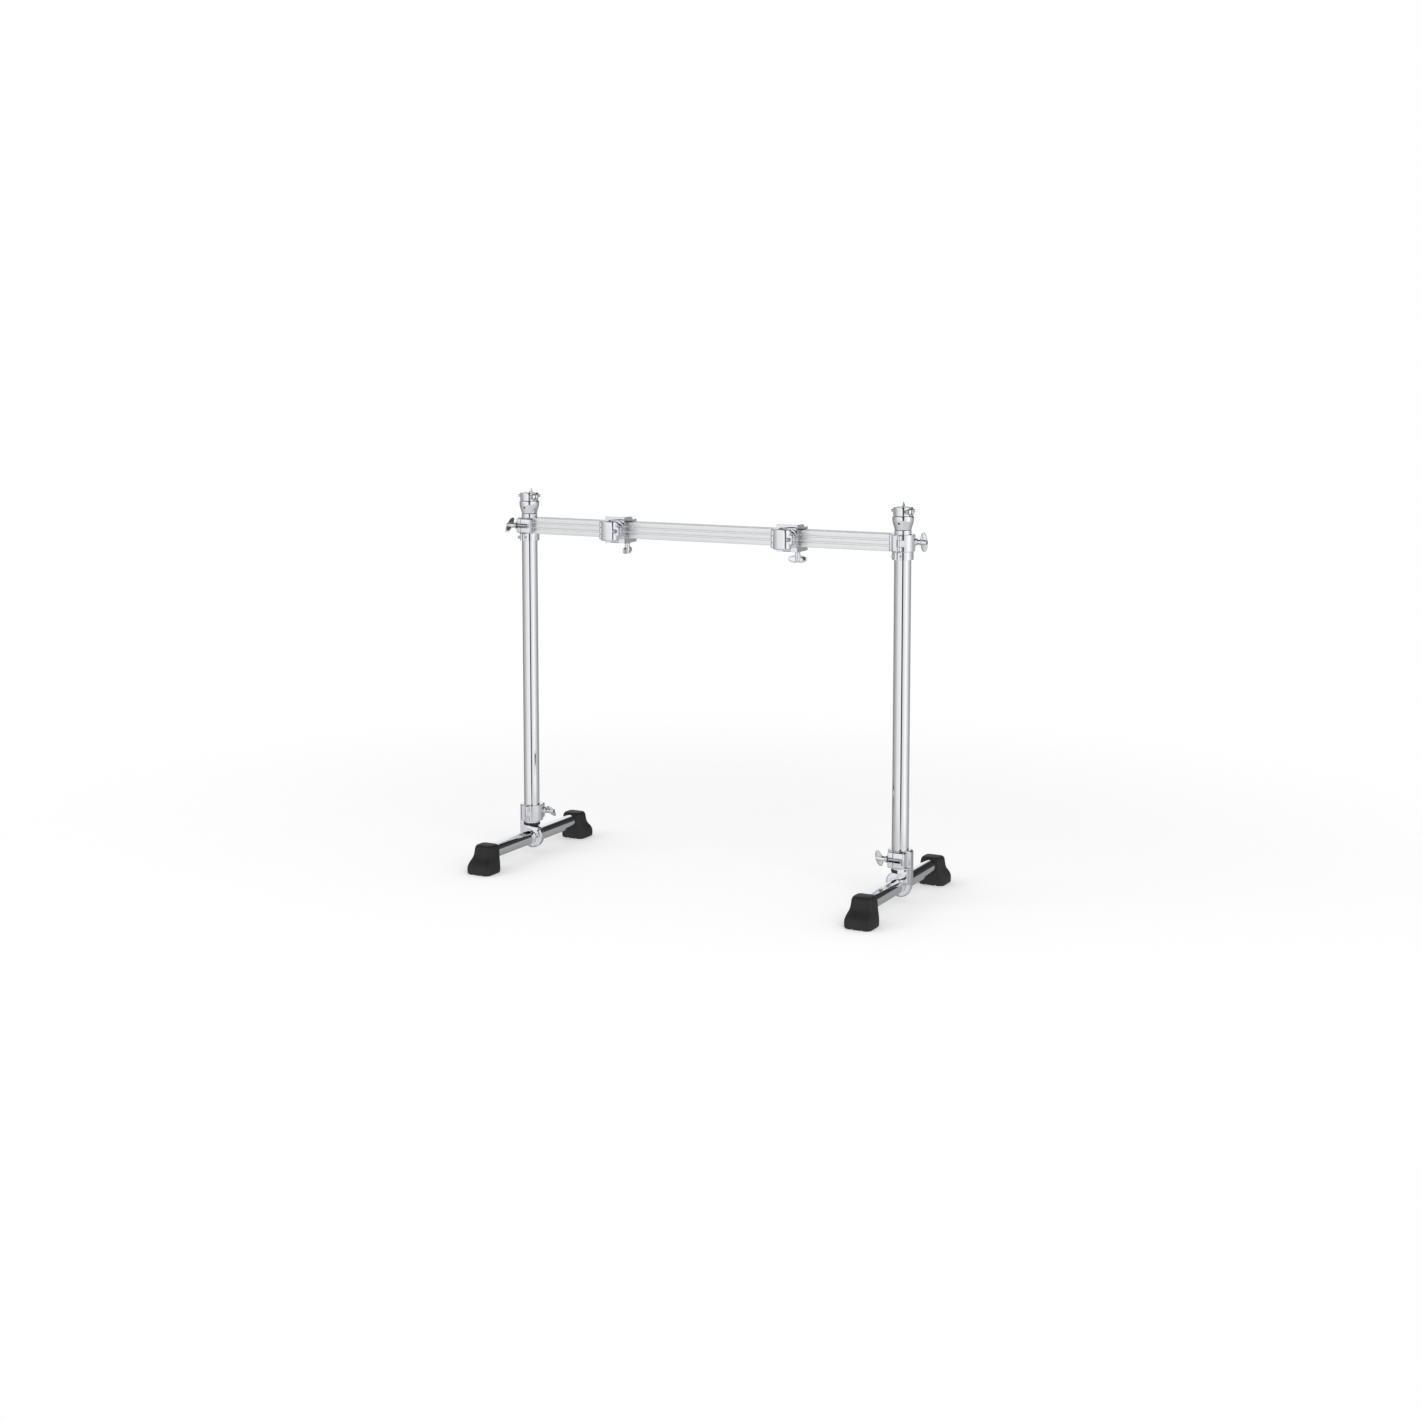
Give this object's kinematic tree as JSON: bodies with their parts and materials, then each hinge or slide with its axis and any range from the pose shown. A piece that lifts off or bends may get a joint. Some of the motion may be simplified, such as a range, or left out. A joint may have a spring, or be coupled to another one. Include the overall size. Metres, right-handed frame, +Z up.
{
  "type": "drum rack",
  "caption": "Drum rack with a square bar clamped between chromed posts on tubular feet with rubber ends, hinged bar clamps with wing nuts and tube holders.",
  "frame": {"origin": "on the floor midway between the posts", "axes": "+X along the bar towards the right-hand post, -Y towards the side with the tube holders, +Z up"},
  "size_m": [1.0714, 0.481, 0.9003],
  "materials": {
    "chrome": "polished chrome plate",
    "satin_aluminium": "satin anodised extrusion",
    "zinc_plated_steel": "bright zinc plate",
    "moulded_rubber": "matte moulded",
    "black_nylon": "matte moulded"
  },
  "bodies": {
    "posts": {"left_post": "chrome", "left_post_plug": "black_nylon", "left_holder_bowl": "chrome", "left_holder_ring": "chrome", "left_holder_bolt": "zinc_plated_steel", "right_post": "chrome", "right_post_plug": "black_nylon", "right_holder_bowl": "chrome", "right_holder_ring": "chrome", "right_holder_bolt": "zinc_plated_steel"},
    "bar_assembly": {"bar": "satin_aluminium", "left_bar_bracket": "chrome", "left_bar_jaw": "chrome", "left_bar_hinge_pin": "zinc_plated_steel", "right_bar_bracket": "chrome", "right_bar_jaw": "chrome", "right_bar_hinge_pin": "zinc_plated_steel"},
    "left_lock": {"left_memory_lock": "chrome", "left_memory_lock_bolt": "zinc_plated_steel"},
    "right_lock": {"right_memory_lock": "chrome", "right_memory_lock_bolt": "zinc_plated_steel"},
    "left_bar_swing_bolt": {"left_bar_bolt": "zinc_plated_steel"},
    "right_bar_swing_bolt": {"right_bar_bolt": "zinc_plated_steel"},
    "left_bar_nut": {"left_bar_wing_nut": "chrome"},
    "right_bar_nut": {"right_bar_wing_nut": "chrome"},
    "left_foot": {"left_tee_body": "chrome", "left_tee_jaw": "chrome", "left_tee_hinge_pin": "zinc_plated_steel", "left_foot_tube": "chrome", "left_front_rubber_foot": "moulded_rubber", "left_back_rubber_foot": "moulded_rubber"},
    "right_foot": {"right_tee_body": "chrome", "right_tee_jaw": "chrome", "right_tee_hinge_pin": "zinc_plated_steel", "right_foot_tube": "chrome", "right_front_rubber_foot": "moulded_rubber", "right_back_rubber_foot": "moulded_rubber"},
    "left_foot_swing_bolt": {"left_tee_bolt": "zinc_plated_steel"},
    "right_foot_swing_bolt": {"right_tee_bolt": "zinc_plated_steel"},
    "left_foot_nut": {"left_tee_wing_nut": "chrome"},
    "right_foot_nut": {"right_tee_wing_nut": "chrome"},
    "left_clamp": {"left_clamp_body": "chrome", "left_clamp_jaw": "chrome", "left_clamp_hinge_pin": "zinc_plated_steel"},
    "right_clamp": {"right_clamp_body": "chrome", "right_clamp_jaw": "chrome", "right_clamp_hinge_pin": "zinc_plated_steel"},
    "left_clamp_swing_bolt": {"left_clamp_bolt": "zinc_plated_steel"},
    "right_clamp_swing_bolt": {"right_clamp_bolt": "zinc_plated_steel"},
    "left_clamp_nut": {"left_clamp_wing_nut": "chrome"},
    "right_clamp_nut": {"right_clamp_wing_nut": "chrome"},
    "left_tube_holder": {"left_tube_holder_base": "chrome", "left_tube_holder_cap": "chrome", "left_tube_holder_pin": "zinc_plated_steel", "left_tube_holder_bolt": "zinc_plated_steel"},
    "right_tube_holder": {"right_tube_holder_base": "chrome", "right_tube_holder_cap": "chrome", "right_tube_holder_pin": "zinc_plated_steel", "right_tube_holder_bolt": "zinc_plated_steel"}
  },
  "joints": [
    {"name": "bar_height", "type": "slide", "parent": "posts", "child": "bar_assembly", "axis": [0, 0, 1], "range_m": [-0.55, 0.008]},
    {"name": "left_lock_height", "type": "slide", "parent": "posts", "child": "left_lock", "axis": [0, 0, 1], "range_m": [-0.55, 0.008]},
    {"name": "right_lock_height", "type": "slide", "parent": "posts", "child": "right_lock", "axis": [0, 0, 1], "range_m": [-0.55, 0.008]},
    {"name": "left_bar_bolt_swing", "type": "hinge", "parent": "bar_assembly", "child": "left_bar_swing_bolt", "pos_m": [-0.473, -0.02705, 0.81235], "axis": [0, 0, 1], "range_deg": [0, 90]},
    {"name": "right_bar_bolt_swing", "type": "hinge", "parent": "bar_assembly", "child": "right_bar_swing_bolt", "pos_m": [0.473, 0.02705, 0.81235], "axis": [0, 0, 1], "range_deg": [0, 90]},
    {"name": "left_bar_nut_turn", "type": "hinge", "parent": "left_bar_swing_bolt", "child": "left_bar_nut", "pos_m": [-0.473, -0.02705, 0.81235], "axis": [-1, 0, 0], "continuous": true},
    {"name": "right_bar_nut_turn", "type": "hinge", "parent": "right_bar_swing_bolt", "child": "right_bar_nut", "pos_m": [0.473, 0.02705, 0.81235], "axis": [1, 0, 0], "continuous": true},
    {"name": "left_foot_turn", "type": "hinge", "parent": "posts", "child": "left_foot", "pos_m": [-0.488, 0, 0.1061], "axis": [0, 0, 1], "continuous": true},
    {"name": "right_foot_turn", "type": "hinge", "parent": "posts", "child": "right_foot", "pos_m": [0.488, 0, 0.1061], "axis": [0, 0, 1], "continuous": true},
    {"name": "left_foot_bolt_swing", "type": "hinge", "parent": "left_foot", "child": "left_foot_swing_bolt", "pos_m": [-0.503, 0.02705, 0.1061], "axis": [0, 0, 1], "range_deg": [0, 90]},
    {"name": "right_foot_bolt_swing", "type": "hinge", "parent": "right_foot", "child": "right_foot_swing_bolt", "pos_m": [0.503, -0.02705, 0.1061], "axis": [0, 0, 1], "range_deg": [0, 90]},
    {"name": "left_foot_nut_turn", "type": "hinge", "parent": "left_foot_swing_bolt", "child": "left_foot_nut", "pos_m": [-0.503, 0.02705, 0.1061], "axis": [1, 0, 0], "continuous": true},
    {"name": "right_foot_nut_turn", "type": "hinge", "parent": "right_foot_swing_bolt", "child": "right_foot_nut", "pos_m": [0.503, -0.02705, 0.1061], "axis": [-1, 0, 0], "continuous": true},
    {"name": "left_clamp_slide", "type": "slide", "parent": "bar_assembly", "child": "left_clamp", "axis": [1, 0, 0], "range_m": [-0.175, 0.18]},
    {"name": "right_clamp_slide", "type": "slide", "parent": "bar_assembly", "child": "right_clamp", "axis": [1, 0, 0], "range_m": [-0.17, 0.18]},
    {"name": "left_clamp_bolt_swing", "type": "hinge", "parent": "left_clamp", "child": "left_clamp_swing_bolt", "pos_m": [-0.23, 0.02705, 0.83095], "axis": [1, 0, 0], "range_deg": [0, 90]},
    {"name": "right_clamp_bolt_swing", "type": "hinge", "parent": "right_clamp", "child": "right_clamp_swing_bolt", "pos_m": [0.219, 0.02705, 0.83095], "axis": [1, 0, 0], "range_deg": [0, 90]},
    {"name": "left_clamp_nut_turn", "type": "hinge", "parent": "left_clamp_swing_bolt", "child": "left_clamp_nut", "pos_m": [-0.23, 0.02705, 0.77235], "axis": [0, 0, -1], "continuous": true},
    {"name": "right_clamp_nut_turn", "type": "hinge", "parent": "right_clamp_swing_bolt", "child": "right_clamp_nut", "pos_m": [0.219, 0.02705, 0.77235], "axis": [0, 0, -1], "continuous": true},
    {"name": "left_tube_holder_turn", "type": "hinge", "parent": "left_clamp", "child": "left_tube_holder", "pos_m": [-0.23, -0.04, 0.81235], "axis": [0, -1, 0], "continuous": true},
    {"name": "right_tube_holder_turn", "type": "hinge", "parent": "right_clamp", "child": "right_tube_holder", "pos_m": [0.219, -0.04, 0.81235], "axis": [0, -1, 0], "continuous": true}
  ],
  "couplings": [
    {"joint": "left_lock_height", "follows": "bar_height", "ratio": 1},
    {"joint": "right_lock_height", "follows": "bar_height", "ratio": 1}
  ]
}
